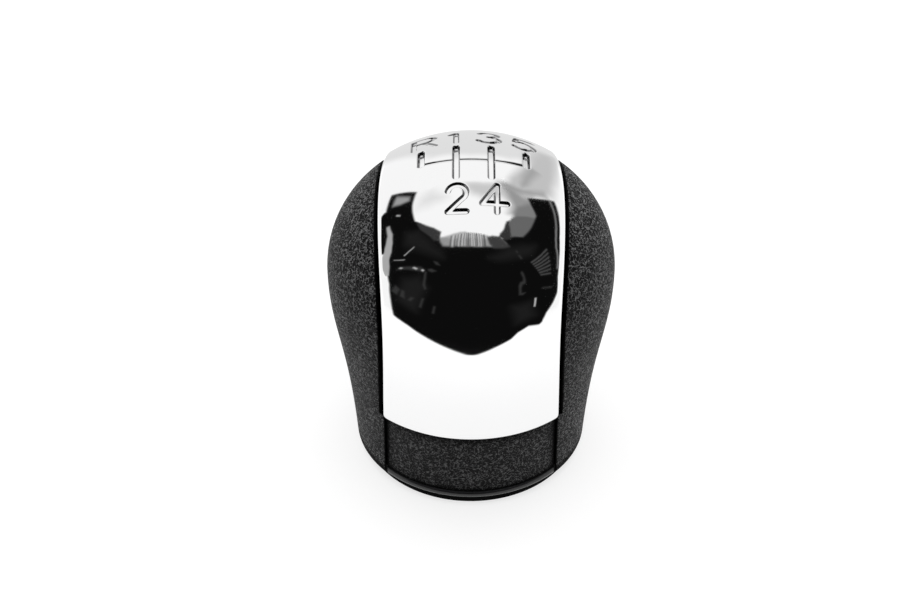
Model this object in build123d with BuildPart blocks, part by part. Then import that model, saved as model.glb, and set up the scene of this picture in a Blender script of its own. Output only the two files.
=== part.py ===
from build123d import *

import os
from math import cos, radians, sin, sqrt

# Gear shift knob in millimetres. +Z runs up along the gear lever, the origin is on the lever's axis
# at the standing face, and the driver sits on the -Y side.

# Turned outer form of the whole knob
base_radius = 25.7  # at the foot of the grips
foot_flare = 0.065  # sideways run for each millimetre of rise at the foot
foot_pull = 28.1  # how far up the foot's slope steers the side curve
head_pull = 13.1  # how far down the upright head steers the side curve
head_radius = 31.0  # widest level
head_height = 48.0
crown_height = 74.4  # top of the turned form, under the proud cover
shoulder_turn = 50.0  # degrees, from upright up to the round cap of the crown

# Collar below the grips, which a gaiter's neck fits over
collar_height = 2.6
collar_radius = 24.1
collar_wall = 3.6

# Chrome cover, a strip from the front over the crown to the back
cover_overlap = 0.6  # past the seam on each side
cover_front_edge = 22.5
cover_rear_edge = 40.0
cover_wall = 2.8
cover_proud = 0.8
cover_roll_radius = 2.0
cover_rim_radius = 0.5
cover_side_gap = 0.3
cover_end_gap = 0.5

# Seams between the grips and the middle of the knob, which bow outwards as seen from above
seam_half_width = 19.0  # at the widest place of the bow
seam_bow_radius = 200.0
seam_bow_shift = 6.0  # of the widest place, towards the driver
seam_round = 0.3
fit_gap = 0.3

# Grained panels under the two ends of the cover
panel_recess = 0.6
panel_wall = 2.0
panel_side_gap = 0.2
panel_peg_radius = 1.6
panel_peg_length = 3.0
panel_peg_drop = 6.0  # below the panel's upper edge

# Grip shells
grip_wall = 3.0
grip_rim_width = 2.6
grip_rim_depth = 6.0
grip_rib_wall = 1.8
grip_rib_pitch = 8.6
grip_ribs_above = 2  # over the one at the widest level
grip_ribs_below = 4
channel_depth = 3.4  # floor of the channel that the cover's long edges lie over
peg_radius = 2.2
peg_boss_wall = 1.6
peg_length = 1.8
peg_pitch = 22.0

# Core moulding
core_wall = 2.0
core_side_wall = 2.4
core_rib_wall = 2.0
core_columns = 5
boss_wall = 2.2
peg_gap = 0.15

# Base plate
plate_thickness = 3.0
lip_thickness = 1.45
lip_round = 0.6
hub_wall = 2.4
hub_drop = 1.6

# Metal socket for the lever
lever_radius = 6.0
socket_wall = 2.0
socket_depth = 44.0
socket_end_wall = 3.0
socket_mouth = 0.6  # height of its open end above the standing face
socket_chamfer = 0.8
groove_width = 3.0
groove_depth = 0.8

# Base screws
screw_radius = 1.4
screw_length = 12.0
screw_head_radius = 2.6
screw_head_height = 1.7
screw_head_gap = 0.7  # between a head and the collar
screw_post_wall = 1.7
screw_hole_gap = 0.3
screw_recess_width = 0.8
screw_recess_length = 3.0
screw_recess_depth = 0.9
screw_point = 0.9

# Snap legs at the crown of the cover and tabs at its two ends
leg_width = 3.6
leg_thickness = 1.8
leg_spacing = 30.0  # front to back
leg_length = 11.0
barb_reach = 1.0
barb_height = 2.4
leg_gap = 0.4
tab_thickness = 1.8
tab_reach = 4.0
tab_rise = 3.0  # above the cover's end

# Sizes that follow from the ones above
turn_across = cos(radians(shoulder_turn))
turn_up = sin(radians(shoulder_turn))
center_spacing = (head_radius + head_height - crown_height) / (turn_across + turn_up - 1)
shoulder_center = center_spacing * turn_across
shoulder_radius = head_radius - shoulder_center
crown_radius = shoulder_radius + center_spacing
crown_center = crown_height - crown_radius
cover_inset = cover_wall - cover_proud
cover_middle = cover_inset - cover_wall / 2
saddle_inset = cover_inset + fit_gap
panel_back = panel_recess + panel_wall
backing_inset = panel_back + fit_gap
pocket_inset = backing_inset + core_wall
plate_radius = base_radius - backing_inset
plate_top = collar_height + plate_thickness
lip_top = collar_height + lip_thickness
socket_radius = lever_radius + socket_wall
socket_top = socket_mouth + socket_depth + socket_end_wall
peg_boss_radius = peg_radius + peg_boss_wall
core_inner_half = seam_half_width - core_side_wall
pocket_width = (2 * core_inner_half - (core_columns - 1) * core_rib_wall) / core_columns
pocket_pitch = pocket_width + core_rib_wall
outer_pocket = pocket_pitch * (core_columns - 1) / 2
screw_circle = collar_radius - collar_wall - screw_head_gap - screw_head_radius
screw_spacing = 2 * sqrt(screw_circle**2 - outer_pocket**2)
channel_overlap = cover_overlap + cover_side_gap
reach = 3 * head_radius  # well past every piece

os.makedirs("parts", exist_ok=True)


def turned_form(inset, mode=Mode.ADD):
    """The knob's turned outer form, with its skin moved inwards by inset."""
    with BuildSketch(Plane.XZ) as half_section:
        with BuildLine():
            side = Bezier(
                (base_radius - inset, collar_height),
                (base_radius + foot_flare * foot_pull - inset, collar_height + foot_pull),
                (head_radius - inset, head_height - head_pull),
                (head_radius - inset, head_height),
            )
            CenterArc((shoulder_center, head_height), shoulder_radius - inset, 0, shoulder_turn)
            crown = CenterArc((0, crown_center), crown_radius - inset, shoulder_turn, 90 - shoulder_turn)
            Polyline(crown @ 1, (0, collar_height), side @ 0)
        make_face()
    revolve(half_section.sketch, axis=Axis.Z, mode=mode)


def crown_level(distance, inset):
    """Height of the crown's cap at a distance from the lever's axis."""
    return crown_center + sqrt((crown_radius - inset) ** 2 - distance**2)


def middle_zone(overlap, mode=Mode.INTERSECT):
    """Everything between the two bowed seams, and past them by an overlap."""
    with BuildSketch() as plan:
        with Locations((seam_half_width - seam_bow_radius, -seam_bow_shift)):
            Circle(seam_bow_radius + overlap)
        with Locations((seam_bow_radius - seam_half_width, -seam_bow_shift)):
            Circle(seam_bow_radius + overlap, mode=Mode.INTERSECT)
    extrude(plan.sketch, amount=reach, mode=mode)


def strip_zone(overlap, front_edge, rear_edge):
    """The part of the middle zone above a front and a rear edge."""
    with BuildSketch(Plane.YZ) as side_view:
        for side, edge in ((-1, front_edge), (1, rear_edge)):
            with Locations((side * reach / 2, (edge + reach) / 2)):
                Rectangle(reach, reach - edge)
    extrude(side_view.sketch, amount=reach, both=True, mode=Mode.INTERSECT)
    middle_zone(overlap)


def turned_faces(solid):
    """The faces of a piece that come from the turned form or from its rounded edges."""
    return solid.faces().filter_by(lambda face: face.geom_type not in (GeomType.PLANE, GeomType.CYLINDER))


def bars(sections, side, mode=Mode.ADD):
    """Bars from the middle of the knob out through its front (-1) or rear (1) wall."""
    extrude(sections, amount=reach, dir=(0, side, 0), mode=mode)


def tab_sections(end, gap=0.0):
    """The pair of tabs above an end of the cover, seen from the front."""
    with BuildSketch(Plane.XZ) as sections:
        with Locations((0, end + tab_rise + tab_thickness / 2)):
            with GridLocations(2 * pocket_pitch, 0, 2, 1):
                Rectangle(leg_width + 2 * gap, tab_thickness + 2 * gap)
    return sections.sketch


def panel_peg_sections(top, gap=0.0):
    """The pair of pegs near the upper edge of a panel, seen from the front."""
    with BuildSketch(Plane.XZ) as sections:
        with Locations((0, top - panel_peg_drop)):
            with GridLocations(2 * outer_pocket, 0, 2, 1):
                Circle(panel_peg_radius + gap)
    return sections.sketch


cover_ends = {-1: cover_front_edge, 1: cover_rear_edge}
panel_tops = {side: end - cover_end_gap for side, end in cover_ends.items()}

# Snap legs and end tabs of the cover, which hold it to the core
leg_front = (leg_spacing - leg_thickness) / 2
leg_back = leg_front + leg_thickness
leg_foot = crown_level(sqrt(pocket_pitch**2 + leg_front**2), cover_inset) - leg_length
barb_top = crown_level(sqrt(pocket_pitch**2 + (leg_back + barb_reach) ** 2), pocket_inset) - fit_gap
leg_planes = [Plane.YZ.offset(side * pocket_pitch) for side in (-1, 1)]

with BuildPart() as cover_legs:
    with BuildSketch(*leg_planes):
        with BuildLine():
            Polyline(
                (leg_front, leg_foot),
                (leg_back, leg_foot),
                (leg_back, barb_top - barb_height),
                (leg_back + barb_reach, barb_top),
                (leg_back, barb_top),
                (leg_back, reach),
                (leg_front, reach),
                close=True,
            )
        make_face()
        mirror(about=Plane.YZ)
    extrude(amount=leg_width / 2, both=True)
    turned_form(cover_middle, mode=Mode.INTERSECT)

with BuildPart() as cover_tabs:
    for side, end in cover_ends.items():
        bars(tab_sections(end), side)
    turned_form(cover_middle, mode=Mode.INTERSECT)
    turned_form(cover_inset + tab_reach, mode=Mode.SUBTRACT)

# Chrome cover
with BuildPart() as chrome_cover:
    turned_form(-cover_proud)
    strip_zone(cover_overlap, cover_front_edge, cover_rear_edge)
    side_faces = chrome_cover.faces().filter_by(GeomType.CYLINDER)
    fillet(turned_faces(chrome_cover).edges() & side_faces.edges(), cover_roll_radius)
    end_faces = chrome_cover.faces().filter_by(Axis.Z)
    fillet(turned_faces(chrome_cover).edges() & end_faces.edges(), cover_rim_radius)
    turned_form(cover_inset, mode=Mode.SUBTRACT)
    add(cover_legs.part)
    add(cover_tabs.part)

# Channel round the cover, with room for its long edges and ends
with BuildPart() as cover_channel:
    turned_form(-reach / 10)
    turned_form(channel_depth, mode=Mode.SUBTRACT)
    strip_zone(channel_overlap, panel_tops[-1], panel_tops[1])

# Right grip, a shell with a thick rim along the seam, ribs, and pegs for the core, of which the upper
# one's boss runs on up into the rim
with BuildPart() as grip_hollow:
    turned_form(grip_wall)
    split(bisect_by=Plane.YZ, keep=Keep.TOP)
    middle_zone(grip_rim_width, mode=Mode.SUBTRACT)
    split(bisect_by=Plane.XY.offset(plate_top + grip_wall), keep=Keep.TOP)

with BuildPart() as grip_mouth:
    turned_form(grip_rim_depth)
    split(bisect_by=Plane.YZ, keep=Keep.TOP)
    middle_zone(0, mode=Mode.SUBTRACT)
    split(bisect_by=Plane.XY.offset(plate_top + grip_wall), keep=Keep.TOP)

rib_steps = range(-grip_ribs_below, grip_ribs_above + 1)
rib_levels = [head_height + step * grip_rib_pitch for step in rib_steps]
peg_levels = [head_height + step * peg_pitch / 2 for step in (-1, 1)]

with BuildPart() as grip_inside:
    with BuildSketch(Plane.YZ):
        for level in rib_levels:
            with Locations((0, level)):
                Rectangle(2 * reach, grip_rib_wall)
        for level in peg_levels:
            with Locations((0, level)):
                Circle(peg_boss_radius)
        with Locations((0, max(peg_levels))):
            Rectangle(2 * peg_boss_radius, reach, align=(Align.CENTER, Align.MIN))
    extrude(amount=reach)
    turned_form(grip_wall / 2, mode=Mode.INTERSECT)
    middle_zone(0, mode=Mode.SUBTRACT)
    add(cover_channel.part, mode=Mode.SUBTRACT)
    with BuildSketch(Plane.YZ.offset(seam_half_width)):
        for level in peg_levels:
            with Locations((0, level)):
                Circle(peg_radius)
    extrude(amount=-peg_length)

with BuildPart() as right_grip:
    turned_form(0)
    split(bisect_by=Plane.YZ, keep=Keep.TOP)
    middle_zone(0, mode=Mode.SUBTRACT)
    add(cover_channel.part, mode=Mode.SUBTRACT)
    skin = turned_faces(right_grip).filter_by(
        lambda face: face.center(CenterOf.MASS).X > seam_half_width + channel_overlap
    )
    fillet(skin.edges() & right_grip.faces().filter_by(GeomType.CYLINDER).edges(), seam_round)
    with BuildSketch(Plane.XY.offset(collar_height)):
        Circle(plate_radius + fit_gap)
    extrude(amount=plate_thickness + fit_gap, mode=Mode.SUBTRACT)
    add(grip_hollow.part, mode=Mode.SUBTRACT)
    add(grip_mouth.part, mode=Mode.SUBTRACT)
    add(grip_inside.part)

with BuildPart() as left_grip:
    mirror(right_grip.part, about=Plane.YZ)


def make_panel(side):
    """The grained panel under the cover's front (-1) or rear (1) end."""
    top = panel_tops[side]
    with BuildPart() as pegs:
        bars(panel_peg_sections(top), side)
        turned_form(panel_recess + panel_wall / 2, mode=Mode.INTERSECT)
        turned_form(panel_back + panel_peg_length, mode=Mode.SUBTRACT)
    with BuildPart() as panel:
        turned_form(panel_recess)
        turned_form(panel_back, mode=Mode.SUBTRACT)
        with BuildSketch(Plane.XZ):
            with Locations((0, lip_top)):
                Rectangle(2 * reach, top - lip_top, align=(Align.CENTER, Align.MIN))
        extrude(amount=reach, dir=(0, side, 0), mode=Mode.INTERSECT)
        middle_zone(-panel_side_gap)
        add(pegs.part)
    return panel


front_panel = make_panel(-1)
rear_panel = make_panel(1)

# Lever socket, a turned metal blank with a blind bore
with BuildPart() as socket_blank:
    with BuildSketch(Plane.XY.offset(socket_mouth)):
        Circle(socket_radius)
    extrude(amount=socket_depth + socket_end_wall)
    with BuildSketch(Plane.XY.offset((socket_mouth + socket_top) / 2)):
        Circle(socket_radius)
        Circle(socket_radius - groove_depth, mode=Mode.SUBTRACT)
    extrude(amount=groove_width / 2, both=True, mode=Mode.SUBTRACT)

with BuildPart() as lever_socket:
    add(socket_blank.part)
    with BuildSketch(Plane.XY.offset(socket_mouth)):
        Circle(lever_radius)
    extrude(amount=socket_depth, mode=Mode.SUBTRACT)
    mouth = lever_socket.edges().filter_by(GeomType.CIRCLE).group_by(Axis.Z)[0]
    chamfer(mouth.sort_by(SortBy.RADIUS)[0], socket_chamfer)

# Core, moulded round the socket and cored out from below between ribs
with BuildPart() as screw_posts:
    with BuildSketch(Plane.XY.offset(plate_top)):
        with GridLocations(2 * outer_pocket, screw_spacing, 2, 2):
            Circle(screw_radius + screw_post_wall)
    extrude(amount=screw_length)

with BuildPart() as pockets:
    turned_form(pocket_inset)
    with BuildSketch(Plane.XY.offset(plate_top)):
        with GridLocations(pocket_pitch, 0, core_columns, 1):
            Rectangle(pocket_width, 2 * reach)
        Rectangle(2 * reach, core_rib_wall, mode=Mode.SUBTRACT)
    extrude(amount=reach, mode=Mode.INTERSECT)
    middle_zone(-core_side_wall)
    with BuildSketch(Plane.XY):
        Circle(socket_radius + boss_wall)
    extrude(amount=socket_top + boss_wall, mode=Mode.SUBTRACT)
    add(screw_posts.part, mode=Mode.SUBTRACT)

with BuildPart() as saddle:
    turned_form(saddle_inset)
    strip_zone(0, cover_front_edge, cover_rear_edge)

with BuildPart() as wall_holes:
    for side, end in cover_ends.items():
        bars(tab_sections(end, leg_gap), side)
    turned_form(cover_inset + tab_reach + leg_gap, mode=Mode.SUBTRACT)

with BuildPart() as peg_holes:
    for side, top in panel_tops.items():
        bars(panel_peg_sections(top, peg_gap), side)
    turned_form(panel_back + panel_peg_length + peg_gap, mode=Mode.SUBTRACT)

with BuildPart() as core:
    turned_form(backing_inset)
    strip_zone(0, plate_top, plate_top)
    add(saddle.part)
    add(pockets.part, mode=Mode.SUBTRACT)
    add(socket_blank.part, mode=Mode.SUBTRACT)
    add(wall_holes.part, mode=Mode.SUBTRACT)
    add(peg_holes.part, mode=Mode.SUBTRACT)
    with BuildSketch(Plane.XY.offset(leg_foot)):
        for side in (-1, 1):
            with Locations((0, side * (leg_front + leg_back + barb_reach) / 2)):
                with GridLocations(2 * pocket_pitch, 0, 2, 1):
                    Rectangle(leg_width + 2 * leg_gap, leg_thickness + barb_reach + 2 * leg_gap)
    extrude(amount=reach, mode=Mode.SUBTRACT)
    with BuildSketch(Plane.XY.offset(plate_top)):
        with GridLocations(2 * outer_pocket, screw_spacing, 2, 2):
            Circle(screw_radius)
    extrude(amount=screw_length - plate_thickness + fit_gap, mode=Mode.SUBTRACT)
    for side in (-1, 1):
        with BuildSketch(Plane.YZ.offset(side * seam_half_width)):
            for level in peg_levels:
                with Locations((0, level)):
                    Circle(peg_radius + peg_gap)
        extrude(amount=-side * (peg_length + peg_gap), mode=Mode.SUBTRACT)

# Base plate with its collar, a hub round the socket, and a lip under each panel
hub_radius = socket_radius + fit_gap

with BuildPart() as lips:
    turned_form(0)
    with BuildSketch(Plane.XY.offset(collar_height)):
        Circle(reach)
    extrude(amount=lip_thickness, mode=Mode.INTERSECT)
    middle_zone(-panel_side_gap)
    level_faces = lips.faces().filter_by(Axis.Z)
    fillet(turned_faces(lips).edges() & level_faces.edges(), lip_round)

with BuildPart() as base_plate:
    with BuildSketch():
        Circle(collar_radius)
        Circle(collar_radius - collar_wall, mode=Mode.SUBTRACT)
    extrude(amount=collar_height)
    with BuildSketch(Plane.XY.offset(collar_height)):
        Circle(plate_radius)
    extrude(amount=plate_thickness)
    with BuildSketch(Plane.XY.offset(collar_height)):
        Circle(hub_radius + hub_wall)
    extrude(amount=-hub_drop)
    add(lips.part)
    with BuildSketch():
        Circle(hub_radius)
        with GridLocations(2 * outer_pocket, screw_spacing, 2, 2):
            Circle(screw_radius + screw_hole_gap)
    extrude(amount=plate_top, mode=Mode.SUBTRACT)

# Base screws, up through the plate into the core's posts
with BuildPart() as base_screws:
    with BuildSketch(Plane.XY.offset(collar_height)):
        with GridLocations(2 * outer_pocket, screw_spacing, 2, 2):
            Circle(screw_radius)
    extrude(amount=screw_length)
    chamfer(base_screws.edges().group_by(Axis.Z)[-1], screw_point)
    with BuildSketch(Plane.XY.offset(collar_height)):
        with GridLocations(2 * outer_pocket, screw_spacing, 2, 2):
            Circle(screw_head_radius)
    extrude(amount=-screw_head_height)
    fillet(base_screws.edges().group_by(Axis.Z)[0], screw_head_height / 2)
    with BuildSketch(Plane.XY.offset(collar_height - screw_head_height)):
        with GridLocations(2 * outer_pocket, screw_spacing, 2, 2):
            Rectangle(screw_recess_length, screw_recess_width)
            Rectangle(screw_recess_width, screw_recess_length)
    extrude(amount=screw_recess_depth, mode=Mode.SUBTRACT)

pieces = {
    "chrome_cover": chrome_cover,
    "left_grip": left_grip,
    "right_grip": right_grip,
    "front_panel": front_panel,
    "rear_panel": rear_panel,
    "core": core,
    "lever_socket": lever_socket,
    "base_plate": base_plate,
    "base_screws": base_screws,
}
for node, piece in pieces.items():
    piece.part.label = node
    export_step(piece.part, f"parts/{node}.step")
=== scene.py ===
# %% [markdown]
# # A gear shift knob
# The knob stands loose on a pale floor, seen from the driver's side and from above. Its solids come
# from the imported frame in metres, with +Z up along the lever and the driver on the -Y side.
# Most pieces keep their solids and only need a finish. The chrome cover is made again here, because
# a mirror shows every facet, and because the shift pattern is pressed into it.

import math

import bpy
import numpy as np
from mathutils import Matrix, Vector


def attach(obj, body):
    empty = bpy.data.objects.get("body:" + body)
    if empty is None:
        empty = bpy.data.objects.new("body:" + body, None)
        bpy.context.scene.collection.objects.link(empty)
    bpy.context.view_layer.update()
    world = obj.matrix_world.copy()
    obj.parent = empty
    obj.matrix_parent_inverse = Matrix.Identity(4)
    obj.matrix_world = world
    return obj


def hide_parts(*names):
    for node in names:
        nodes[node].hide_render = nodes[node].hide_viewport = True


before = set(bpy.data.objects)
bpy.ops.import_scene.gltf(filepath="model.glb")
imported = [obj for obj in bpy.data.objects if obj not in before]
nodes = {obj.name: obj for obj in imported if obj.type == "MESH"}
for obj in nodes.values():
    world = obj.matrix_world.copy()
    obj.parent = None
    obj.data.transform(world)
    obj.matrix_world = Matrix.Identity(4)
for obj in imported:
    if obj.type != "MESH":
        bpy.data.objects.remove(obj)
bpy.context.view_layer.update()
scene = bpy.context.scene
MM = 0.001
print("nodes:", ", ".join(sorted(nodes)))

# %% [markdown]
# ## The turned form
# One profile gives the outside of the whole knob: a long side curve from the foot to the widest
# level, a shoulder arc, and a round cap. Moving it in or out gives each piece's own skin. The
# profile could be read off the solids' vertices, but a formula is smooth at any spacing, so the
# same few sizes as in the solids are written here in millimetres.

# %% Sizes of the turned form
base_radius = 25.7
foot_flare = 0.065
foot_pull = 28.1
head_pull = 13.1
head_radius = 31.0
head_height = 48.0
crown_height = 74.4
shoulder_turn = math.radians(50)
collar_height = 2.6

spacing = (head_radius + head_height - crown_height) / (
    math.cos(shoulder_turn) + math.sin(shoulder_turn) - 1
)
shoulder_center = spacing * math.cos(shoulder_turn)
shoulder_radius = head_radius - shoulder_center
crown_radius = shoulder_radius + spacing
crown_center = crown_height - crown_radius
print(f"crown: cap radius {crown_radius:.2f} mm, shoulder radius {shoulder_radius:.2f} mm")

# %% Profile of the turned form
PROFILE_POINTS = 3000


def bezier(t, start, first, second, end):
    """A cubic curve's value at each t."""
    s = 1 - t
    return s**3 * start + 3 * s**2 * t * first + 3 * s * t**2 * second + t**3 * end


def turned_profile(inset):
    """Height, radius and tilt of the outward normal along the skin, from the foot to the top."""
    t = np.linspace(0, 1, PROFILE_POINTS)
    foot_end = base_radius + foot_flare * foot_pull
    side_z = bezier(t, collar_height, collar_height + foot_pull, head_height - head_pull, head_height)
    side_r = bezier(t, base_radius, foot_end, head_radius, head_radius) - inset
    slope = np.arctan2(-np.gradient(side_r), np.gradient(side_z))
    shoulder = np.linspace(0, shoulder_turn, PROFILE_POINTS)[1:]
    cap = np.linspace(shoulder_turn, math.pi / 2, PROFILE_POINTS)[1:]
    shoulder_r = shoulder_center + (shoulder_radius - inset) * np.cos(shoulder)
    shoulder_z = head_height + (shoulder_radius - inset) * np.sin(shoulder)
    cap_r = (crown_radius - inset) * np.cos(cap)
    cap_z = crown_center + (crown_radius - inset) * np.sin(cap)
    height = np.concatenate((side_z, shoulder_z, cap_z))
    radius = np.concatenate((side_r, shoulder_r, cap_r))
    return height, radius, np.concatenate((slope, shoulder, cap))


print("profile:", len(turned_profile(0)[0]), "points")

# %% Points on the turned form
HALVINGS = 45
TINY = 1e-6


def skin_normals(points, inset):
    """Outward unit normals of the turned skin at points on it."""
    height, _, tilt = turned_profile(inset)
    out = np.hypot(points[..., 0], points[..., 1])
    low = np.interp(points[..., 2], height, tilt)
    high = np.arctan2(points[..., 2] - crown_center, out)
    tilt_here = np.where(high > shoulder_turn, high, low)
    level = np.cos(tilt_here) / np.maximum(out, TINY)
    return np.stack((points[..., 0] * level, points[..., 1] * level, np.sin(tilt_here)), -1)


def skin_points(x, turn, inset):
    """Points on the skin at x, at a turn about the head's middle: 0 is up, positive to the front."""
    height, radius, _ = turned_profile(inset)
    low, high = np.zeros(x.shape), np.full(x.shape, 2 * head_radius)
    for _ in range(HALVINGS):
        middle = (low + high) / 2
        z = head_height + middle * np.cos(turn)
        outside = np.hypot(x, middle * np.sin(turn)) >= np.interp(z, height, radius, right=0.0)
        low, high = np.where(outside, low, middle), np.where(outside, middle, high)
    return np.stack((x, -high * np.sin(turn), head_height + high * np.cos(turn)), -1)


print(f"top of the skin: {skin_points(np.zeros(1), np.zeros(1), 0)[0, 2]:.2f} mm up")

# %% [markdown]
# ## The shift pattern
# The gate and the figures are grooves with a flat floor and steep sides. Cutting letter solids out
# of a curved shell leaves long thin faces that a mirror shows up. It's simpler to write each stroke
# as a centre line in the cover's own coordinates, x across and s along the strip from the top to
# the rear, and to press in every grid point that lies within half a stroke of a line.

# %% Figures of the shift pattern
ARC_STEPS = 14


def arc(x, y, wide, tall, start, end):
    """Points along part of an ellipse, with angles in degrees."""
    angle = np.radians(np.linspace(start, end, ARC_STEPS))
    return [(x + wide * math.cos(a), y + tall * math.sin(a)) for a in angle]


# Centre lines of each figure, as shares of its width and height.
figures = {
    "R": [
        [(0, 0), (0, 1)] + arc(0.45, 0.74, 0.5, 0.26, 90, -90) + [(0, 0.48)],
        [(0.45, 0.48), (1, 0)],
    ],
    "1": [[(0.12, 0.8), (0.5, 1), (0.5, 0)]],
    "2": [arc(0.5, 0.7, 0.5, 0.3, 170, -32) + [(0, 0), (1, 0)]],
    "3": [arc(0.46, 0.76, 0.46, 0.24, 155, -85) + arc(0.46, 0.26, 0.54, 0.26, 85, -155)],
    "4": [[(0.6, 0), (0.6, 1), (0, 0.3), (1, 0.3)]],
    "5": [[(0.92, 1), (0.14, 1), (0.06, 0.55)] + arc(0.46, 0.33, 0.54, 0.33, 125, -145)],
}
print("figures:", ", ".join(figures))

# %% Strokes of the shift pattern
gate_x = 0.5
gate_s = 0.96
GATE_COLUMNS = 4
column_pitch = 7.39
slot_reach = 5.5
slot_half_width = 0.85
slot_depth = 0.95
bar_half_width = 0.5
bar_depth = 0.35
figure_row = 11.3
figure_height = 6.9
figure_half_width = 0.7
figure_depth = 0.55
REAR_ROW = 1
FRONT_ROW = -1

# Each figure's middle in x, its row and its width.
figure_places = [
    ("R", -9.9, REAR_ROW, 4.6),
    ("1", -3.2, REAR_ROW, 3.2),
    ("3", 3.8, REAR_ROW, 4.3),
    ("5", 11.2, REAR_ROW, 4.3),
    ("2", -3.0, FRONT_ROW, 3.8),
    ("4", 4.8, FRONT_ROW, 5.1),
]


def pattern_strokes():
    """Every groove as a list of points, a half width and a depth."""
    columns = [gate_x + (i - (GATE_COLUMNS - 1) / 2) * column_pitch for i in range(GATE_COLUMNS)]
    rear, front = gate_s + slot_reach, gate_s - slot_reach
    strokes = [([(columns[0], gate_s), (columns[-1], gate_s)], bar_half_width, bar_depth)]
    for x, end in zip(columns, (gate_s, front, front, gate_s)):
        strokes.append(([(x, end), (x, rear)], slot_half_width, slot_depth))
    for name, x, row, width in figure_places:
        left = x - width / 2
        foot = gate_s + row * figure_row - figure_height / 2
        for line in figures[name]:
            placed = [(left + width * u, foot + figure_height * v) for u, v in line]
            strokes.append((placed, figure_half_width, figure_depth))
    return strokes


print("pattern strokes:", len(pattern_strokes()))

# %% Depth of the grooves
groove_side = 0.36
GROOVE_SHADE_SPREAD = 3


def smooth_step(value):
    """0 below 0, 1 above 1, and a smooth rise between."""
    value = np.clip(value, 0, 1)
    return value * value * (3 - 2 * value)


def line_distance(x, y, start, end):
    """Distance of points from a straight piece of line."""
    (x0, y0), (x1, y1) = start, end
    run_x, run_y = x1 - x0, y1 - y0
    share = np.clip(((x - x0) * run_x + (y - y0) * run_y) / (run_x**2 + run_y**2), 0, 1)
    return np.hypot(x - x0 - share * run_x, y - y0 - share * run_y)


def pattern_press(x, s):
    """Depth of the grooves at points of the cover, and the share of painted shade on their sides."""
    depth, painted_groove_shade = np.zeros(x.shape), np.zeros(x.shape)
    for line, half_width, full_depth in pattern_strokes():
        nearest = np.min([line_distance(x, s, *ends) for ends in zip(line, line[1:])], 0)
        down = smooth_step((half_width - nearest) / groove_side)
        deeper = full_depth * down > depth
        depth = np.where(deeper, full_depth * down, depth)
        # painted shade on the grooves' steep sides, the most halfway down: a dark colour for the dark
        # things the walls mirror
        steep = 1 - np.abs(2 * down - 1) ** GROOVE_SHADE_SPREAD
        painted_groove_shade = np.where(deeper, steep * min(1, full_depth / figure_depth), painted_groove_shade)
    return depth, painted_groove_shade


bar_middle = pattern_press(np.array([gate_x]), np.array([gate_s]))[0][0]
print(f"depth in the middle of the gate's bar: {bar_middle:.2f} mm")

# %% [markdown]
# ## The chrome cover
# The cover is a strip of the turned form that stands proud of it, with rolled long edges. Its solid
# has the right shape, but its triangles follow the solid's faces, and a mirror would show them.
# So it's a grid: rows across the strip, close together where the pattern is, and columns along it.
# Each row is a closed loop: over the outside, round one roll, down the side, back along the inside,
# and up to the other roll. The legs and tabs on the solid's hidden side are left out here.

# %% Rows of the cover
cover_front_edge = 22.5
cover_rear_edge = 40.0
cover_proud = 0.8
rim_radius = 0.5
RIM_ROWS = 6
FINE_ROW = 0.135
COARSE_ROW = 1.0
FINE_REACH = (-15.5, 17.5)


def strip_rows():
    """Places of the rows along the strip's middle line, the turn of each, and the two ends."""
    height, radius, _ = turned_profile(-cover_proud)
    steps = np.hypot(np.diff(height[::-1]), np.diff(radius[::-1]))
    run = np.concatenate(([0], np.cumsum(steps)))
    turn = np.arctan2(radius[::-1], height[::-1] - head_height)
    front = -np.interp(-cover_front_edge, -height[::-1], run)
    rear = np.interp(-cover_rear_edge, -height[::-1], run)
    rim = rim_radius * (1 - np.sin(np.linspace(0, math.pi / 2, RIM_ROWS)))[::-1]
    front_rows = np.arange(front + 2 * rim_radius, FINE_REACH[0], COARSE_ROW)
    fine_rows = np.arange(FINE_REACH[0], FINE_REACH[1], FINE_ROW)
    rear_rows = np.arange(FINE_REACH[1], rear - 2 * rim_radius, COARSE_ROW)
    s = np.concatenate((front + rim, front_rows, fine_rows, rear_rows, (rear - rim)[::-1]))
    return s, -np.sign(s) * np.interp(np.abs(s), run, turn), front, rear


row_s, row_turn, front_end, rear_end = strip_rows()
print(f"rows: {len(row_s)}, from {front_end:.1f} to {rear_end:.1f} mm along the strip")

# %% Skin of the cover
END_BLEND = 14.0
FRONT_SIDE = 1
REAR_SIDE = -1

to_front = 1 - smooth_step((row_s - front_end) / END_BLEND)
to_rear = 1 - smooth_step((rear_end - row_s) / END_BLEND)


def end_turn(x, level, side):
    """Turn at which the strip's end lies at a level, for points at x."""
    height, radius, _ = turned_profile(-cover_proud)
    out = np.interp(level, height, radius)
    return side * np.arctan2(np.sqrt(out**2 - x**2), level - head_height)


def cover_turn(x):
    """Turn of the rows' points at x: near the ends, the rows bend until they lie level."""
    middle = np.zeros(1)
    ahead = end_turn(x, cover_front_edge, FRONT_SIDE) - end_turn(middle, cover_front_edge, FRONT_SIDE)
    behind = end_turn(x, cover_rear_edge, REAR_SIDE) - end_turn(middle, cover_rear_edge, REAR_SIDE)
    return row_turn[:, None] + to_front[:, None] * ahead + to_rear[:, None] * behind


def cover_skin(x, inset):
    """The rows' points at x on the skin, and the normals there."""
    points = skin_points(x, cover_turn(x), inset)
    return points, skin_normals(points, inset)


print("rows that bend towards an end:", int(np.sum((to_front > 0) | (to_rear > 0))))

# %% [markdown]
# ### Long edges
# The seams beside the cover bow outwards, and the cover laps a little over them. Each edge is rolled
# down to the side. A bevel would do that on a box, but here the skin leans more at some rows than at
# others. So each row's roll starts where it leaves the skin without a corner, which a few rounds of
# trying find.

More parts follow.
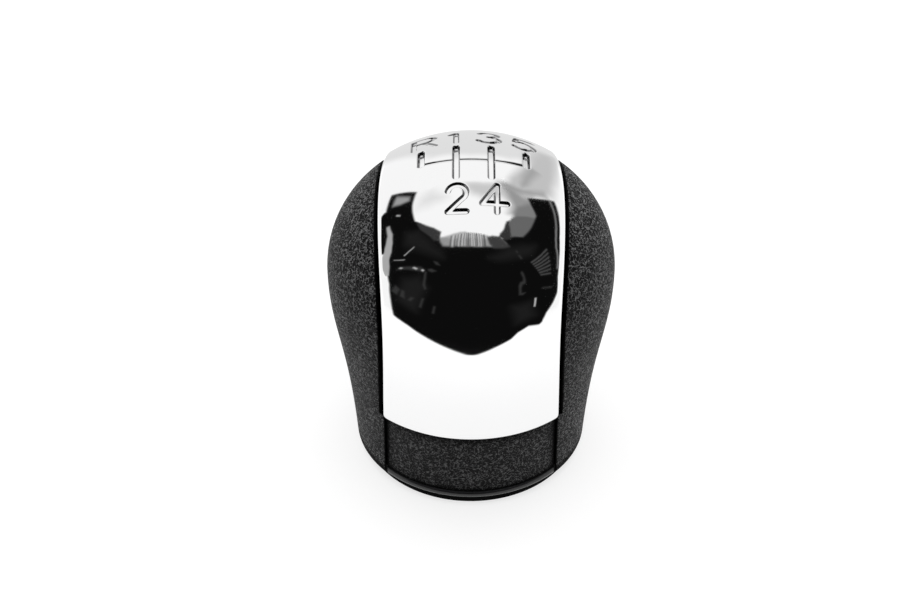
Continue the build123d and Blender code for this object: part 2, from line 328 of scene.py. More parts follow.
# %% Where the rolled edges start
seam_half_width = 19.0
seam_bow_radius = 200.0
seam_bow_shift = 6.0
cover_overlap = 0.6
roll_radius = 2.0
EDGE_ROUNDS = 6


def half_width_at(y):
    """Half the cover's width at points that lie y behind the lever's axis."""
    bow = np.sqrt((seam_bow_radius + cover_overlap) ** 2 - (y + seam_bow_shift) ** 2)
    return seam_half_width - seam_bow_radius + bow


edge_x = np.full((len(row_s), 1), seam_half_width - roll_radius)
for _ in range(EDGE_ROUNDS):
    edge, edge_normal = cover_skin(edge_x, -cover_proud)
    lean = edge_normal[..., 0]
    half_width = half_width_at(edge[..., 1])
    edge_x = half_width - roll_radius * (1 - lean)
print(f"cover: {2 * half_width.min():.1f} to {2 * half_width.max():.1f} mm wide")

# %% Outside of the cover
FINE_HALF_WIDTH = 14.6
FINE_COLUMNS = 230
COARSE_COLUMNS = 8

outer_x = FINE_HALF_WIDTH + (edge_x - FINE_HALF_WIDTH) * np.linspace(0, 1, COARSE_COLUMNS + 1)[1:]
middle_x = np.linspace(-FINE_HALF_WIDTH, FINE_HALF_WIDTH, FINE_COLUMNS)
middle_x = np.broadcast_to(middle_x, (len(row_s), FINE_COLUMNS))
across = np.concatenate((-outer_x[:, ::-1], middle_x, outer_x), 1)
outside, outside_normal = cover_skin(across, -cover_proud)
pressed, painted_groove_shade = pattern_press(across, np.broadcast_to(row_s[:, None], across.shape))
from_end = np.minimum(row_s - front_end, rear_end - row_s)
tuck = np.clip(rim_radius - from_end, 0, rim_radius)
tuck = (rim_radius - np.sqrt(rim_radius**2 - tuck**2))[:, None]
outside = outside - outside_normal * (pressed + tuck)[..., None]
print(f"outside: {outside.shape[1]} columns, pressed in by up to {pressed.max():.2f} mm")

# %% Rolled edges and inside of the cover
cover_wall = 2.8
ROLL_COLUMNS = 10
INNER_COLUMNS = 12
ALONG = np.array((0, 1, 1))
MIRRORED = np.array((-1, 1, 1))

level = np.sqrt(1 - lean**2)
outward = edge_normal * ALONG / level[..., None]
angle = np.linspace(np.arcsin(lean), math.pi / 2, ROLL_COLUMNS, axis=1)[:, 1:, 0]
drop = roll_radius * (np.cos(angle) - level) - tuck
roll = edge + outward * drop[..., None]
roll[..., 0] = half_width - roll_radius * (1 - np.sin(angle))
side = edge - outward * cover_wall
side[..., 0] = half_width
right = np.concatenate((roll, side), 1)
left = right[:, ::-1] * MIRRORED
inner_x = half_width * np.linspace(1, -1, INNER_COLUMNS)[1:-1]
inside, _ = cover_skin(inner_x, cover_wall - cover_proud)
print(f"edges: {right.shape[1]} columns each, inside: {inside.shape[1]} columns")

# %% Mesh of the cover
QUAD_CORNERS = 4


def make_mesh(name, points, faces):
    """A mesh object from points in millimetres, with smooth quads and flat end faces."""
    mesh = bpy.data.meshes.new(name)
    mesh.from_pydata((np.asarray(points) * MM).tolist(), [], faces)
    mesh.polygons.foreach_set("use_smooth", [len(face) == QUAD_CORNERS for face in faces])
    obj = bpy.data.objects.new(name, mesh)
    scene.collection.objects.link(obj)
    return obj


def loop_faces(rows, columns):
    """Quads between rows that are closed loops, and a face over each end, all facing outwards."""
    at = np.arange(rows * columns).reshape(rows, columns)
    ahead = np.roll(at, -1, axis=1)
    quads = np.stack((at[:-1], ahead[:-1], ahead[1:], at[1:]), -1).reshape(-1, QUAD_CORNERS).tolist()
    return quads + [at[0][::-1].tolist(), at[-1].tolist()]


grid = np.concatenate((left, outside, right, inside), 1)
# the painted shade of the grooves' sides, with none on the rolled edges and inside
painted_groove_shade = np.pad(painted_groove_shade, ((0, 0), (left.shape[1], right.shape[1] + inside.shape[1])))
cover = make_mesh("chrome_cover_skin", grid.reshape(-1, 3), loop_faces(*grid.shape[:2]))
cover.data.attributes.new("painted_groove_shade", "FLOAT", "POINT").data.foreach_set("value", painted_groove_shade.ravel())
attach(cover, "root")
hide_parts("chrome_cover")
print("cover:", len(cover.data.vertices), "points in", grid.shape[0], "rows")

# %% [markdown]
# ## Finishes
# Each finish is made of nodes that work in object space, in metres, so nothing needs unwrapping and
# the grain keeps its real size. The grain could be cut into the meshes, but it's only about a fifth
# of a millimetre deep, too little to show in an outline, so a bump map is enough.

# %% Material helpers
MICRON = 1e-6
SHARE = (0, 1)


class Finish:
    """A material with a principled shader, and short ways to add and join nodes."""

    def __init__(self, name, color, roughness, metallic=0.0):
        self.material = bpy.data.materials.new(name)
        self.material.use_nodes = True
        self.tree = self.material.node_tree
        self.shader = self.tree.nodes["Principled BSDF"]
        self.shader.inputs["Base Color"].default_value = (*color, 1)
        self.shader.inputs["Roughness"].default_value = roughness
        self.shader.inputs["Metallic"].default_value = metallic
        self.place = self.add("ShaderNodeTexCoord").outputs["Object"]

    def add(self, kind, **values):
        """A new node; values set its properties, or its inputs by name."""
        node = self.tree.nodes.new(kind)
        for key, value in values.items():
            if key in node.bl_rna.properties:
                setattr(node, key, value)
            else:
                node.inputs[key.replace("_", " ").title()].default_value = value
        return node

    def join(self, source, target):
        """A link from one socket to another."""
        self.tree.links.new(source, target)

    def set(self, name, socket):
        """A link to one of the principled shader's inputs."""
        self.join(socket, self.shader.inputs[name])

    def noise(self, size, detail=2.0):
        """Soft noise with blobs of about the given size in metres."""
        node = self.add("ShaderNodeTexNoise", scale=1 / size, detail=detail)
        self.join(self.place, node.inputs["Vector"])
        return node.outputs["Fac"]

    def level(self):
        """Height above the standing face in metres."""
        node = self.add("ShaderNodeSeparateXYZ")
        self.join(self.place, node.inputs["Vector"])
        return node.outputs["Z"]

    def map(self, value, source, target):
        """A value stretched from one range to another, and clamped."""
        node = self.add("ShaderNodeMapRange")
        self.join(value, node.inputs["Value"])
        for name, number in zip(("From Min", "From Max", "To Min", "To Max"), (*source, *target)):
            node.inputs[name].default_value = number
        return node.outputs["Result"]

    def math(self, operation, first, second):
        """Arithmetic on two sockets, or on a socket and a number."""
        node = self.add("ShaderNodeMath", operation=operation)
        self.join(first, node.inputs[0])
        if isinstance(second, bpy.types.NodeSocket):
            self.join(second, node.inputs[1])
        else:
            node.inputs[1].default_value = second
        return node.outputs[0]

    def blend(self, share, first, second):
        """A colour between two colours."""
        node = self.add("ShaderNodeMix", data_type="RGBA")
        self.join(share, node.inputs["Factor"])
        node.inputs["A"].default_value = (*first, 1)
        node.inputs["B"].default_value = (*second, 1)
        return node.outputs["Result"]

    def bump(self, height, depth, base=None):
        """Bumps of a real depth in metres, on top of earlier bumps."""
        node = self.add("ShaderNodeBump", distance=depth)
        self.join(height, node.inputs["Height"])
        if base is not None:
            self.join(base, node.inputs["Normal"])
        return node.outputs["Normal"]


def give(material, *names):
    """Puts a material on solids from the frame."""
    for name in names:
        nodes[name].data.materials.clear()
        nodes[name].data.materials.append(material)
    print(material.name, "on", ", ".join(names))


print("finish helpers ready")

# %% [markdown]
# ### Chrome plate
# Plated plastic is a near mirror, but never a perfect one: the moulding under it is a little wavy,
# and handling leaves faint hairlines and a haze that dulls it in patches. One plain mirror value
# would look like a drawing, so three noises vary it. The grooves' steep sides have painted shade,
# for the dark things their walls mirror, and that makes the pattern easy to read.

# %% Chrome plate
chrome_color = (0.92, 0.92, 0.922)
chrome_plain_roughness = 0.03
groove_shade_color = (0.06, 0.06, 0.063)
haze_size = 12 * MM
haze_noise = (0.35, 0.7)
haze_roughness = (0.02, 0.07)
wave_size = 9 * MM
wave_depth = 25 * MICRON
hairline_size = 0.4 * MM
hairline_noise = (0.62, 0.75)
hairline_depth = 0.3 * MICRON


def chrome_plate():
    """A bright mirror with haze, waves, hairlines, and painted shade on the grooves' sides."""
    finish = Finish("chrome_plate", chrome_color, chrome_plain_roughness, metallic=1.0)
    haze = finish.noise(haze_size, detail=4)
    finish.set("Roughness", finish.map(haze, haze_noise, haze_roughness))
    # painted shade: the mirror's colour turns dark on the grooves' sides
    groove_shade_share = finish.add("ShaderNodeAttribute", attribute_name="painted_groove_shade").outputs["Fac"]
    finish.set("Base Color", finish.blend(groove_shade_share, chrome_color, groove_shade_color))
    wave = finish.bump(finish.noise(wave_size), wave_depth)
    hairlines = finish.map(finish.noise(hairline_size, detail=3), hairline_noise, SHARE)
    finish.set("Normal", finish.bump(hairlines, hairline_depth, base=wave))
    return finish.material


cover.data.materials.append(chrome_plate())
print("chrome plate on", cover.name)

# %% [markdown]
# ### Grained black
# The grips and panels have a leather grain that is moulded in: short winding ridges about half a
# millimetre wide with narrow valleys between them. Cells would give closed islands, so the ridges
# are the places where a soft noise passes through its middle value, which wind as leather does. A
# finer noise breaks them up. The tops are shinier from handling, and their paler colour is a painted
# highlight for the light they catch. Beside the chrome light hardly gets in, so painted shade darkens
# the colour and gloss there, and the material is darkest in the corners.

# %% Grained black
grain_plain_color = (0.03, 0.03, 0.031)
grain_plain_roughness = 0.5
ridge_size = 0.75 * MM
ridge_rise = (0.42, 0.5)
ridge_fall = (0.5, 0.58)
ridge_weight = 0.7
fleck_size = 0.6 * MM
fleck_noise = (0.35, 0.65)
fleck_weight = 0.3
ridge_highlight_heights = (0.34, 0.68)
corner_reach = 5 * MM
corner_samples = 16
corner_light = (0.93, 1)
valley_and_shade_color = (0.002, 0.002, 0.0021)
ridge_highlight_color = (0.163, 0.163, 0.165)
grain_specular = (0.02, 0.14)
grain_roughness = (0.7, 0.4)
grain_depth = 220 * MICRON


def grained_black():
    """A dark moulding with ridges that have painted highlights, and painted shade in corners."""
    finish = Finish("grained_black", grain_plain_color, grain_plain_roughness)
    winding = finish.noise(ridge_size, detail=1)
    rise = finish.map(winding, ridge_rise, SHARE)
    fall = finish.map(winding, ridge_fall, SHARE[::-1])
    ridge = finish.math("MULTIPLY", finish.math("MULTIPLY", rise, fall), ridge_weight)
    fleck = finish.map(finish.noise(fleck_size, detail=1), fleck_noise, SHARE)
    height = finish.math("ADD", ridge, finish.math("MULTIPLY", fleck, fleck_weight))
    # painted highlight: the ridges' tops are paler for the light they catch, and also less rough
    ridge_highlight_and_gloss = finish.map(height, ridge_highlight_heights, SHARE)
    # painted shade: colour and gloss darken where other parts are near, as light hardly gets in there
    corner = finish.add("ShaderNodeAmbientOcclusion", samples=corner_samples, distance=corner_reach)
    unshaded_share = finish.map(corner.outputs["AO"], corner_light, SHARE)
    tone = finish.math("MULTIPLY", ridge_highlight_and_gloss, unshaded_share)
    finish.set("Base Color", finish.blend(tone, valley_and_shade_color, ridge_highlight_color))
    finish.set("Specular IOR Level", finish.map(unshaded_share, SHARE, grain_specular))
    finish.set("Roughness", finish.map(ridge_highlight_and_gloss, SHARE, grain_roughness))
    finish.set("Normal", finish.bump(height, grain_depth))
    return finish.material


give(grained_black(), "left_grip", "right_grip", "front_panel", "rear_panel")

# %% [markdown]
# ### Satin black
# The base plate is one smooth moulding. Its lip is polished a little. The collar below it is duller,
# and darker in colour and gloss with painted shade, for the shadow under the lip. Two materials would
# need the faces sorted, so one material changes with the height above the standing face.

# %% Satin black
satin_plain_color = (0.014, 0.014, 0.015)
satin_plain_roughness = 0.3
lip_blend = 0.1
lip_start = ((collar_height - lip_blend) * MM, (collar_height + lip_blend) * MM)
collar_shade_color = (0.003, 0.003, 0.003)
lip_color = (0.016, 0.016, 0.017)
satin_specular = (0.04, 0.5)
satin_dullness = (1.0, 0.5)
polish_size = 6 * MM
polish_amount = (0.24, 0.34)
satin_bump_size = 0.5 * MM
satin_bump_depth = 4 * MICRON
usual_noise = (0.3, 0.7)


def satin_black():
    """A smooth dark moulding, polished above the collar, and dull with painted shade below."""
    finish = Finish("satin_black", satin_plain_color, satin_plain_roughness)
    lip = finish.map(finish.level(), lip_start, SHARE)
    # painted shade: the collar is darker and less glossy, for the shadow under the lip
    finish.set("Base Color", finish.blend(lip, collar_shade_color, lip_color))
    finish.set("Specular IOR Level", finish.map(lip, SHARE, satin_specular))
    polish = finish.map(finish.noise(polish_size, detail=3), usual_noise, polish_amount)
    finish.set("Roughness", finish.math("SUBTRACT", finish.map(lip, SHARE, satin_dullness), polish))
    finish.set("Normal", finish.bump(finish.noise(satin_bump_size), satin_bump_depth))
    return finish.material


give(satin_black(), "base_plate")

# %% [markdown]
# ### Black nylon
# The core is a plain moulding that nobody sees once the knob is together. It keeps a faint flow
# pattern in its gloss and a slight roughness, enough for a look inside, and nothing more.

# %% Black nylon
nylon_color = (0.02, 0.02, 0.021)
nylon_plain_roughness = 0.5
flow_size = 4 * MM
flow_roughness = (0.42, 0.6)
nylon_bump_size = 0.8 * MM
nylon_bump_depth = 12 * MICRON


def black_nylon():
    """A plain dark moulding with a faint flow pattern."""
    finish = Finish("black_nylon", nylon_color, nylon_plain_roughness)
    finish.set("Roughness", finish.map(finish.noise(flow_size, detail=4), usual_noise, flow_roughness))
    finish.set("Normal", finish.bump(finish.noise(nylon_bump_size, detail=3), nylon_bump_depth))
    return finish.material


give(black_nylon(), "core")

# %% [markdown]
# ### Steel
# The lever's socket was turned, so it has fine rings round the lever's axis. Turning them into the
# mesh would take many thin faces, so a wave along Z gives them as bumps. The screws are zinc plated,
# which is paler, with faint stains from the plating bath.

# %% Turned steel and zinc
turned_color = (0.56, 0.56, 0.55)
turned_plain_roughness = 0.32
ring_scale = 300
ring_distortion = 1.5
ring_depth = 10 * MICRON
smear_size = 3 * MM
turned_roughness = (0.25, 0.4)
zinc_plain_color = (0.66, 0.67, 0.69)
zinc_plain_roughness = 0.3
stain_size = 2 * MM
stain_colors = ((0.6, 0.62, 0.66), (0.7, 0.69, 0.66))
zinc_roughness = (0.24, 0.42)


def turned_steel():
    """Bare steel with fine rings round the axis."""
    finish = Finish("turned_steel", turned_color, turned_plain_roughness, metallic=1.0)
    rings = finish.add(
        "ShaderNodeTexWave", bands_direction="Z", scale=ring_scale, distortion=ring_distortion
    )
    finish.join(finish.place, rings.inputs["Vector"])
    finish.set("Normal", finish.bump(rings.outputs["Fac"], ring_depth))
    smear = finish.noise(smear_size, detail=4)
    finish.set("Roughness", finish.map(smear, usual_noise, turned_roughness))
    return finish.material


def zinc_steel():
    """Bright zinc with faint stains."""
    finish = Finish("zinc_steel", zinc_plain_color, zinc_plain_roughness, metallic=1.0)
    stain = finish.noise(stain_size, detail=4)
    finish.set("Base Color", finish.blend(stain, *stain_colors))
    finish.set("Roughness", finish.map(stain, usual_noise, zinc_roughness))
    return finish.material


give(turned_steel(), "lever_socket")
give(zinc_steel(), "base_screws")

# %% [markdown]
# ## The stage
# The photograph looks as if it was taken in a white tent: a pale ground, and soft light from all
# over with the most from above. A floor lit to white by lamps would throw too much light up at the
# grips. So the floor is grey, and it glows only for the rays that show the background, direct ones
# and mirrored ones. The sky is dim for all other rays in the same way.

# %% Floor and world
WHITE = (1, 1, 1, 1)
floor_size = 1.6
floor_color = 0.36
floor_roughness = 0.9
floor_specular = 0.1
floor_glow = 0.72
sky_strength = 0.18
background_strength = 1.0


def background_rays(tree):
    """A socket that is 1 for rays that show the background: direct, mirrored or through glass."""
    path = tree.nodes.new("ShaderNodeLightPath")
    total = path.outputs["Is Camera Ray"]
    for name in ("Is Glossy Ray", "Is Transmission Ray"):
        node = tree.nodes.new("ShaderNodeMath")
        node.operation = "MAXIMUM"
        tree.links.new(total, node.inputs[0])
        tree.links.new(path.outputs[name], node.inputs[1])
        total = node.outputs[0]
    return total


bpy.ops.mesh.primitive_plane_add(size=floor_size)
floor = bpy.context.object
floor.name = "floor"
floor_finish = Finish("floor", (floor_color,) * 3, floor_roughness)
floor_finish.shader.inputs["Specular IOR Level"].default_value = floor_specular
floor_finish.shader.inputs["Emission Color"].default_value = WHITE
glow = floor_finish.math("MULTIPLY", background_rays(floor_finish.tree), floor_glow)
floor_finish.set("Emission Strength", glow)
floor.data.materials.append(floor_finish.material)

world = bpy.data.worlds.new("tent")
scene.world = world
world.use_nodes = True
sky = world.node_tree.nodes["Background"]
sky.inputs["Color"].default_value = WHITE
lift = world.node_tree.nodes.new("ShaderNodeMapRange")
lift.inputs["To Min"].default_value = sky_strength
lift.inputs["To Max"].default_value = background_strength
world.node_tree.links.new(background_rays(world.node_tree), lift.inputs["Value"])
world.node_tree.links.new(lift.outputs["Result"], sky.inputs["Strength"])
print("floor and world in place")

# %% [markdown]
# ### Lamp
# The light on the grips comes from above and fades towards the foot. The sky alone would light all
# sides alike, so one wide lamp hangs over the knob, a little behind it. Its soft edge keeps the
# shadow faint, and mirrors don't show it.

# %% Lamp
lamp_place = (0, 0.1, 0.9)
lamp_size = 1.4
lamp_power = 13.5


def area_lamp(name, place, size, power):
    """A square lamp that faces the knob, and that mirrors don't show."""
    data = bpy.data.lights.new(name, "AREA")
    data.size = size
    data.energy = power
    lamp = bpy.data.objects.new(name, data)
    lamp.location = place
    aim = Vector((0, 0, head_height * MM)) - lamp.location
    lamp.rotation_euler = aim.to_track_quat("-Z", "Y").to_euler()
    lamp.visible_glossy = False
    scene.collection.objects.link(lamp)
    return lamp


overhead = area_lamp("overhead", lamp_place, lamp_size, lamp_power)
print(overhead.name, "lamp of", overhead.data.energy, "W")

# %% [markdown]
# ## What the chrome reflects
# A mirror is all about its surroundings: the tent's cloth, a dark opening in front that the camera
# looks through, and the dim room beyond it. Modelling a room would be a lot of work for a few
# smudges. So they are cards on a ball round the knob, which only mirror rays see, and which neither
# dim the light nor cast shadows. They are drawn by azimuth from the front, positive to the right,
# and by elevation, both in degrees.
#
# First the cloth behind and beside the knob, which shows in the chrome's upper end.

# %% Cloth behind and beside the knob
rear_ground = [(150, -20), (212, -20), (206, 10), (200, 32), (180, 38), (160, 34), (150, 20)]
rear_screen = [
    (123, 56), (123, 36), (131, 31), (140, 21), (150, 8), (157, 0), (160, 8), (157, 20), (152, 32),
    (150, 42), (148, 52), (142, 59), (132, 58),
]
rear_hem = [
    (121, 40), (123.5, 50), (127, 56), (133, 59), (141, 60.3), (149, 61), (149, 58.5), (141, 57.2),
    (134.5, 55.5), (130.5, 52), (128, 46), (127, 40),
]
rear_crease = [(133, 52), (138, 50), (144, 43.5), (150, 32), (143, 32), (138, 42), (134, 47)]
left_haze = [(-134, 60), (-120, 57), (-108, 58), (-110, 64), (-122, 70), (-134, 71)]
sky_haze = [(130, 66), (150, 62), (165, 65), (187, 66), (190, 72), (175, 76), (155, 77), (138, 74)]
window = [
    (147, 60), (165, 64.5), (180, 65.5), (195, 65), (212, 62), (226, 58), (232, 48), (205, 45),
    (180, 46), (156, 47), (151, 54),
]
right_haze = [
    (92, 50), (122, 50), (124, 55), (136, 57), (150, 60), (140, 64), (125, 66), (110, 66), (95, 68),
]
right_panel_far = [(84, 50), (110, 50), (113, 55), (108, 62), (98, 65), (86, 66)]
right_panel = [
    (57.5, 61.3), (62, 64.3), (66, 65.7), (72, 66.5), (78, 67.2), (86, 66.4), (93, 63), (96, 57),
    (97, 50), (80, 51), (66, 54), (62, 59),
]
print("cloth: the window card has", len(window), "corners")

# %% [markdown]
# ### The opening
# The large dark shape in the chrome is the tent's opening. Its lower border is the near edge of the
# white ground, and its sides follow the cloth, with a pale frame on each side. A plain ellipse would
# be shorter to write, but this outline is what the eye goes to first, so it's drawn point by point.

# %% Opening and its frame
opening = [
    (0, -26.8), (-20, -17.3), (-40, -7.5), (-50.5, -4), (-54.6, 6), (-59.5, 16), (-63.3, 20),
    (-67, 26), (-71, 30), (-78, 29), (-82.5, 23), (-90, 25.5), (-100, 30.5), (-107, 31),
    (-110.5, 37.7), (-125, 36.8), (-127.5, 52.5), (-90, 57), (-84, 60), (-60, 65), (-50, 63),
    (-44, 65), (-15, 67.5), (0, 68), (15, 67.5), (42, 64), (52, 64.5), (63, 60), (69, 56),
    (100, 51.5), (112, 53.5), (119.8, 53.5), (119.8, 36.5), (104, 36.2), (90.5, 34.7), (85, 32.3),
    (74.5, 26.5), (65.5, 18.8), (60, 9), (55, 4), (49, -1), (45, -7), (43, -8), (36, -6), (29, -9),
    (24.5, -13.5), (8, -23),
]
left_frame = [
    (-63, 21.5), (-65, 19.5), (-73, 20.5), (-77.5, 25), (-78, 31), (-83, 35.7), (-88.5, 38.8),
    (-96, 39), (-96, 41), (-87.5, 42), (-80.5, 40), (-74.3, 35.8), (-70.5, 30.3), (-66.5, 27),
]
right_frame = [
    (119, 40.5), (103, 39.7), (92, 39), (86, 37.9), (80, 35.3), (68, 24.2), (68.6, 23.2),
    (80.6, 34.1), (86.6, 36.8), (92.6, 37.9), (103, 38.7), (119, 39.3),
]
left_blob = [(-122, 41.5), (-113.5, 41.5), (-114, 46), (-117, 51), (-121, 50)]
print("opening: drawn with", len(opening), "corners")

# %% [markdown]
# ### The curtain over the opening
# A pale curtain is gathered over the top of the opening. Its folds hang side by side, so they come
# from one function, with dark ones in the hollows and light ones on the ridges. Its ends are in
# shade.

# %% Curtain over the opening
rib_lean = 0.8
rib_top = 74.5
rib_foot = 65.9
rib_sag = 0.004


def rib(azimuth, half_width):
    """A fold: folds lean apart towards the top, and hang lower at the sides."""
    foot = rib_lean * azimuth
    top, bottom = rib_top - rib_sag * azimuth**2, rib_foot - rib_sag * foot**2
    upper = [(azimuth - half_width, top), (azimuth + half_width, top)]
    return upper + [(foot + half_width, bottom), (foot - half_width, bottom)]


dark_ribs = [
    rib(-36, 1.2), rib(-30, 0.9), rib(-25.5, 0.7), rib(-20.5, 1.4), rib(-14.5, 0.8), rib(-10, 0.6),
    rib(-5.6, 1.2), rib(-1, 0.5), rib(3.5, 0.5), rib(7.5, 0.6), rib(11.5, 1.2), rib(16, 0.6),
    rib(20.5, 0.5), rib(24.5, 1.5),
]
light_ribs = [
    rib(-33, 0.9), rib(-23, 0.8), rib(-17.3, 0.9), rib(-12.3, 0.7), rib(1.3, 0.8), rib(5.5, 0.7),
    rib(13.8, 0.8), rib(18.3, 0.7),
]
top_band = [
    (-46, 63.3), (-38, 61.5), (-20, 64.8), (0, 65.8), (20, 64.5), (47, 60), (46, 66), (30, 70.5),
    (15, 73), (-15, 74.7), (-25, 73.6), (-35, 71), (-50, 64.5),
]
top_glow = [
    (-42, 67.5), (-35, 71), (-25, 73.6), (-15, 74.7), (0, 74), (15, 73), (30, 70.5), (28, 68.5),
    (15, 70.5), (0, 71), (-15, 71), (-30, 68),
]
top_shade = [(27, 65), (30, 61.5), (40, 59), (48, 57.5), (47, 66), (38, 69), (28, 69.5)]
left_fold = [
    (-87, 57.5), (-80, 61.5), (-75, 63.5), (-68, 66), (-60, 67.3), (-54, 67.8), (-50, 65.5),
    (-45.5, 63.2), (-52, 61), (-60, 61), (-68, 60), (-76, 58.5),
]
right_fold = [
    (45, 66), (50, 67.3), (60, 67.5), (70, 68.4), (76, 68.4), (80, 67), (72, 65.8), (64, 63.5),
    (57, 60.5), (50, 62),
]
print("curtain:", len(dark_ribs), "dark folds and", len(light_ribs), "light ones")

# %% [markdown]
# ### The room beyond the opening
# The opening isn't plain black: dim walls, a few edges, a blind and small glints show in it. They
# make the chrome read as a mirror and not as black paint. Each group is one card, from wide and dim
# to small and bright.

# %% Walls and edges of the room
room_walls = [
    [(-50, 9), (-36, 6), (-33, 28), (-42, 34), (-52, 26)],
    [(28, -1), (41, 1), (40, 13), (27, 14)],
    [(-82, 50), (-76, 58), (-56, 60), (-36, 58), (-30, 55), (-46, 53), (-60, 50), (-72, 46)],
    [(20, 57), (46, 58), (61, 53), (70, 47), (60, 45), (44, 50), (30, 53)],
]
left_shelf = [
    (-60.5, 28.5), (-57.5, 31.5), (-53, 34.5), (-48, 36.5), (-43, 38), (-40.5, 38.2), (-40.8, 40.8),
    (-45, 41.5), (-50, 39.3), (-55, 36), (-58.5, 33),
]
left_post = [
    (-40, 39.5), (-37.8, 34), (-36.8, 29), (-34.3, 26), (-33.2, 27), (-35.2, 30.5), (-36.4, 35),
    (-38.3, 39.5),
]
right_bracket = [
    (33.6, 21.5), (35.6, 28.5), (37.5, 30.6), (40, 30.8), (41.2, 33), (41.6, 37.5), (43, 38.3),
    (43.4, 36), (42.2, 31), (41, 28.3), (38.5, 28.3), (36.6, 26), (35.6, 22.3), (38.5, 21.5),
    (36, 20.5),
]
room_edges = [
    left_shelf,
    left_post,
    [(-38.5, 42), (-36, 43.5), (-31, 43.2), (-34, 41), (-37, 41)],
    [(-38, 50), (-34, 50.5), (-30, 48.6), (-34, 48.2)],
    [(-56, 13), (-55, 18.5), (-51, 17.5), (-51.5, 12.5)],
    [(-49.3, 12.8), (-49.6, 18), (-47.3, 18), (-45.5, 12.8)],
    [(-43, 13), (-42, 16), (-39.5, 16.5), (-41, 13)],
    [(-34.4, 11), (-34, 18.5), (-32.6, 18.8), (-33, 11)],
    [(-25.2, 9), (-25, 15), (-23.8, 15), (-24, 9)],
    right_bracket,
    [(49.2, 47.2), (49.5, 50), (51, 50), (50.8, 47)],
    [(50.2, 52), (50.5, 53.4), (51.8, 53), (51.6, 52)],
    [(50.5, 19), (52, 19), (58, 15.5), (57, 15)],
]
print("room:", len(room_walls), "walls and", len(room_edges), "edges")

# %% Blind and glints of the room
SLATS = 7
slat_width = 1.0
slat_near = 54.5
slat_near_level = 28.0
slat_near_pitch = 2.0
slat_far = 62.0
slat_far_spread = 2.0
slat_far_level = 24.2
slat_far_pitch = 2.5


def slat(i):
    """A slat of the blind, counted from the lowest: they spread as a fan."""
    near, far = slat_near_level + slat_near_pitch * i, slat_far_level + slat_far_pitch * i
    end = slat_far + slat_far_spread * i
    return [(slat_near, near), (slat_near, near + slat_width), (end, far + slat_width), (end, far)]


blind_slats = [slat(i) for i in range(SLATS)]
room_glints = [
    [(-63.9, 41), (-63.8, 50), (-63.3, 50), (-63.2, 41)],
    [(-67.3, 32.7), (-66.7, 33.4), (-60.4, 39), (-60.9, 38)],
    [(-59.7, 30.8), (-58.8, 32.3), (-57, 33.2), (-57.8, 31.6)],
    [(-50.6, 37.2), (-50, 38.6), (-46.6, 39), (-47.2, 37.7)],
    [(-43.2, 39), (-42.6, 40.3), (-40.8, 40), (-41.2, 38.9)],
    [(41, 8.5), (43.2, 14.5), (44.3, 14), (42, 8)],
    [(-104, 45.5), (-102.5, 47.8), (-101.5, 47.5), (-103, 45)],
]
print("room:", len(blind_slats), "slats and", len(room_glints), "glints")

# %% [markdown]
# ### Cards
# Each card is a grid of small faces that is clear outside its outlines and fades in over a few
# degrees, as things out of focus do. A plain polygon would have a hard edge all round, and a mirror
# shows it. Later cards lie nearer and hide earlier ones.

# %% List of the cards
# Each card has a name, a brightness, the width of its soft edge in degrees, and its outlines.
cards = [
    ("rear_ground", 0.79, 9, [rear_ground]),
    ("rear_screen", 0.57, 9, [rear_screen]),
    ("rear_folds", 0.4, 5, [rear_hem, rear_crease]),
    ("left_haze", 0.8, 12, [left_haze]),
    ("sky_haze", 0.62, 9, [sky_haze]),
    ("window", 1.0, 3, [window]),
    ("right_haze", 0.33, 9, [right_haze]),
    ("right_panel_far", 0.22, 4, [right_panel_far]),
    ("right_panel", 0.14, 2, [right_panel]),
    ("tent_opening", 0.004, 1.6, [opening]),
    ("room_walls", 0.013, 9, room_walls),
    ("room_edges", 0.035, 2, room_edges),
    ("blind_slats", 0.08, 1.2, blind_slats),
    ("room_glints", 0.5, 1, room_glints),
    ("left_frame", 0.42, 1.2, [left_frame]),
    ("right_frame", 0.2, 1.2, [right_frame]),
    ("left_blob", 0.35, 3, [left_blob]),
    ("top_band", 0.32, 2, [top_band]),
    ("top_glow", 0.5, 3, [top_glow]),
    ("dark_ribs", 0.09, 1.2, dark_ribs),
    ("light_ribs", 0.6, 1.2, light_ribs),
    ("top_shade", 0.05, 2, [top_shade]),
    ("left_fold", 0.04, 1.5, [left_fold]),
    ("right_fold", 0.035, 1.5, [right_fold]),
]
print("cards:", ", ".join(name for name, *_ in cards))

# %% Card grids
card_center = 50.0
card_radius = 120.0
card_layer = 0.4
CARD_STEP = 0.5


def ball_points(azimuth, elevation, radius):
    """Points on a ball round the knob, in millimetres."""
    a, e = np.radians(azimuth), np.radians(elevation)
    out = radius * np.cos(e)
    return np.stack((out * np.sin(a), -out * np.cos(a), card_center + radius * np.sin(e)), -1)


def inside_depth(x, y, outline):
    """Distance in from an outline, negative outside it."""
    nearest, within = np.full(x.shape, np.inf), np.zeros(x.shape, bool)
    for start, end in zip(outline, np.roll(outline, -1, 0)):
        nearest = np.minimum(nearest, line_distance(x, y, start, end))
        run_x, run_y = end - start
        crosses = (start[1] > y) != (end[1] > y)
        before = (x - start[0]) * run_y * np.sign(run_y) < (y - start[1]) * run_x * np.sign(run_y)
        within ^= crosses & before
    return np.where(within, nearest, -nearest)


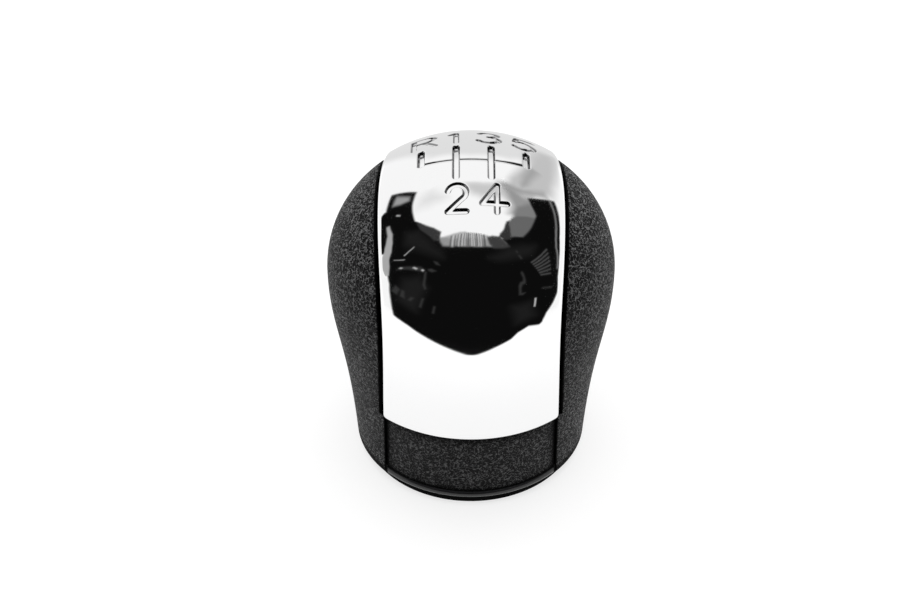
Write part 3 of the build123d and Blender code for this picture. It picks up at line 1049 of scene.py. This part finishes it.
def card_grid(name, softness, outlines, radius):
    """A mesh on the ball that covers some outlines, with the share of the card at each point."""
    corners = np.concatenate(outlines)
    low, high = corners.min(0) - softness, corners.max(0) + softness
    azimuth, elevation = np.meshgrid(*(np.arange(a, b, CARD_STEP) for a, b in zip(low, high)))
    narrow = np.array((math.cos(math.radians(corners[:, 1].mean())), 1))
    depth = [inside_depth(azimuth * narrow[0], elevation, outline * narrow) for outline in outlines]
    shown = smooth_step(np.max(depth, 0) / softness + 1 / 2)
    at = np.arange(shown.size).reshape(shown.shape)
    quads = np.stack((at[:-1, :-1], at[:-1, 1:], at[1:, 1:], at[1:, :-1]), -1).reshape(-1, QUAD_CORNERS)
    quads = quads[shown.ravel()[quads].max(1) > 0]
    screen = make_mesh(name, ball_points(azimuth, elevation, radius).reshape(-1, 3), quads.tolist())
    screen.data.attributes.new("shown", "FLOAT", "POINT").data.foreach_set("value", shown.ravel())
    return screen


print(f"cards lie {card_radius:.0f} mm from the knob's middle")

# %% Cards that the chrome reflects
BLACK = (0, 0, 0)
HIDDEN_FROM = ("camera", "diffuse", "transmission", "volume_scatter", "shadow")


def card_finish(name, strength):
    """An even glow that is clear where the card isn't shown."""
    finish = Finish(name, BLACK, roughness=1.0)
    light = finish.add("ShaderNodeEmission", strength=strength)
    mix = finish.add("ShaderNodeMixShader")
    finish.join(finish.add("ShaderNodeAttribute", attribute_name="shown").outputs["Fac"], mix.inputs[0])
    finish.join(finish.add("ShaderNodeBsdfTransparent").outputs[0], mix.inputs[1])
    finish.join(light.outputs[0], mix.inputs[2])
    finish.join(mix.outputs[0], finish.tree.nodes["Material Output"].inputs["Surface"])
    return finish.material


for layer, (name, strength, softness, outlines) in enumerate(cards):
    screen = card_grid(name, softness, outlines, card_radius - layer * card_layer)
    screen.data.materials.append(card_finish(name, strength))
    for ray in HIDDEN_FROM:
        setattr(screen, f"visible_{ray}", False)
print("cards in place:", len(cards))

# %% [markdown]
# ## Camera
# A long lens half a metre away, looking down at about forty degrees, as fitted to the photograph's
# outline. A nearer camera with a wide lens would show the same outline only roughly, with a larger
# crown. The knob stands a little right of the middle.

# %% Camera
camera_distance = 500.0
camera_elevation = math.radians(39.85)
camera_target = (-2.37, 0.0, 35.98)
camera_lens = 89.25
sensor_width = 36.0

camera_data = bpy.data.cameras.new("camera")
camera_data.lens = camera_lens
camera_data.sensor_width = sensor_width
camera_data.sensor_fit = "HORIZONTAL"
camera = bpy.data.objects.new("camera", camera_data)
scene.collection.objects.link(camera)
back = Vector((0, -math.cos(camera_elevation), math.sin(camera_elevation)))
camera.location = (Vector(camera_target) + back * camera_distance) * MM
camera.rotation_euler = back.to_track_quat("Z", "Y").to_euler()
scene.camera = camera
scene.view_settings.view_transform = "Standard"
print("camera at", [round(v, 3) for v in camera.location])
